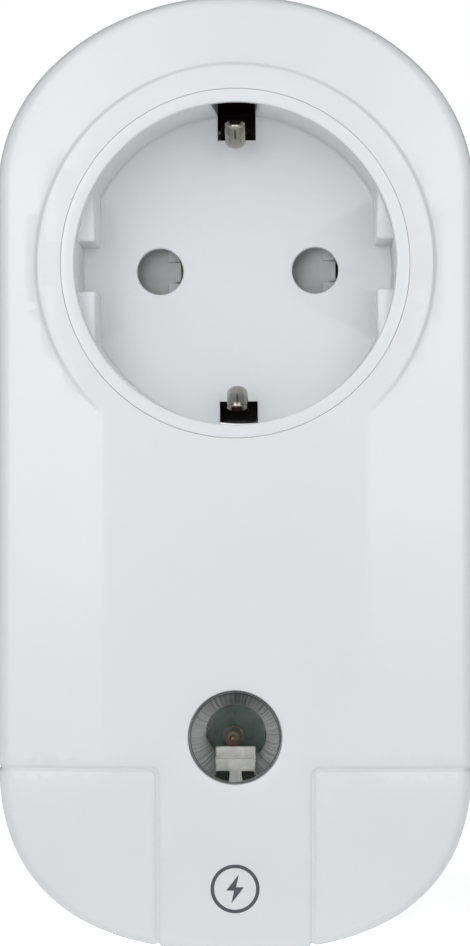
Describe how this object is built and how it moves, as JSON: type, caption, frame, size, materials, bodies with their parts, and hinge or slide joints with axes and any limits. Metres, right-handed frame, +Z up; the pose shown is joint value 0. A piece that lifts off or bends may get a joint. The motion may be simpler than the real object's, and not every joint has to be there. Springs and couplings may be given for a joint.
{
  "type": "plug in power meter",
  "caption": "Plug-in adapter with an earthed, shuttered round socket on its front, a lit clear push button below it, metering electronics inside and a plug on its back.",
  "frame": {"origin": "centre of the plug's end face, on the axis that the plug and the socket share", "axes": "+X to the right as the socket is faced, +Y out of the back along the plug's pins, +Z up; the socket faces -Y"},
  "size_m": [0.057, 0.0734, 0.114],
  "materials": {
    "housing_white": "glossy moulded white",
    "socket_white": "glossy moulded cooler white",
    "shutter_grey": "moulded grey",
    "spring_steel": "drawn wire",
    "carrier_dark": "moulded black",
    "blackened_steel": "blackened",
    "brass": "stamped",
    "nickel": "nickelled",
    "clear_cap": "clear polished plastic",
    "arm_white": "moulded white",
    "component_black": "moulded black",
    "lamp_pink": "tinted lens",
    "shroud_grey": "grey reflector",
    "board_green": "green solder mask",
    "capacitor_ochre": "ochre box",
    "capacitor_sleeve": "shrunk sleeve",
    "component_blue": "blue insulation",
    "component_brown": "brown insulation",
    "copper": "copper alloy",
    "shield": "tinned shield",
    "earth_green_yellow": "green and yellow insulation",
    "screw_steel": "zinc plated"
  },
  "bodies": {
    "housing": {"front_housing": "housing_white", "rear_housing": "housing_white", "plug_base": "housing_white", "socket_insert": "socket_white", "shutter_spring": "spring_steel", "contact_carrier": "carrier_dark", "earth_bridge": "blackened_steel", "live_contact": "brass", "neutral_contact": "brass", "plug_pin_live": "nickel", "plug_pin_neutral": "nickel", "plug_earth_contact_upper": "nickel", "plug_earth_contact_lower": "nickel", "tact_switch": "component_black", "status_led": "lamp_pink", "light_shroud": "shroud_grey", "main_board": "board_green", "relay": "component_black", "film_capacitor": "capacitor_ochre", "electrolytic_capacitor": "capacitor_sleeve", "varistor": "component_blue", "fuse": "component_brown", "metering_chip": "component_black", "shunt_resistor": "copper", "radio_module": "shield", "live_wire": "component_brown", "neutral_wire": "component_blue", "earth_wire": "earth_green_yellow", "load_wire_live": "component_brown", "load_wire_neutral": "component_blue", "housing_screw_1": "screw_steel", "housing_screw_2": "screw_steel", "housing_screw_3": "screw_steel", "housing_screw_4": "screw_steel", "board_screw_1": "screw_steel", "board_screw_2": "screw_steel"},
    "shutter_slide": {"shutter": "shutter_grey"},
    "button": {"button_cap": "clear_cap", "switch_plunger": "arm_white", "switch_actuator": "lamp_pink"},
    "upper_clip": {"earth_clip_upper": "nickel"},
    "lower_clip": {"earth_clip_lower": "nickel"}
  },
  "joints": [
    {"name": "shutter_travel", "type": "slide", "parent": "housing", "child": "shutter_slide", "axis": [1, 0, 0], "range_m": [0, 0.0058], "stiffness_N_per_m": 60, "springref_m": -0.004, "deforming": ["shutter_spring"]},
    {"name": "button_press", "type": "slide", "parent": "housing", "child": "button", "axis": [0, 1, 0], "range_m": [0, 0.0006], "stiffness_N_per_m": 800, "springref_m": -0.0006},
    {"name": "upper_clip_flex", "type": "hinge", "parent": "housing", "child": "upper_clip", "pos_m": [0, -0.0307, 0.0173], "axis": [-1, 0, 0], "range_deg": [0, 8], "stiffness_Nm_per_rad": 0.2, "springref_deg": -2.86},
    {"name": "lower_clip_flex", "type": "hinge", "parent": "housing", "child": "lower_clip", "pos_m": [0, -0.0307, -0.0173], "axis": [1, 0, 0], "range_deg": [0, 8], "stiffness_Nm_per_rad": 0.2, "springref_deg": -2.86}
  ]
}
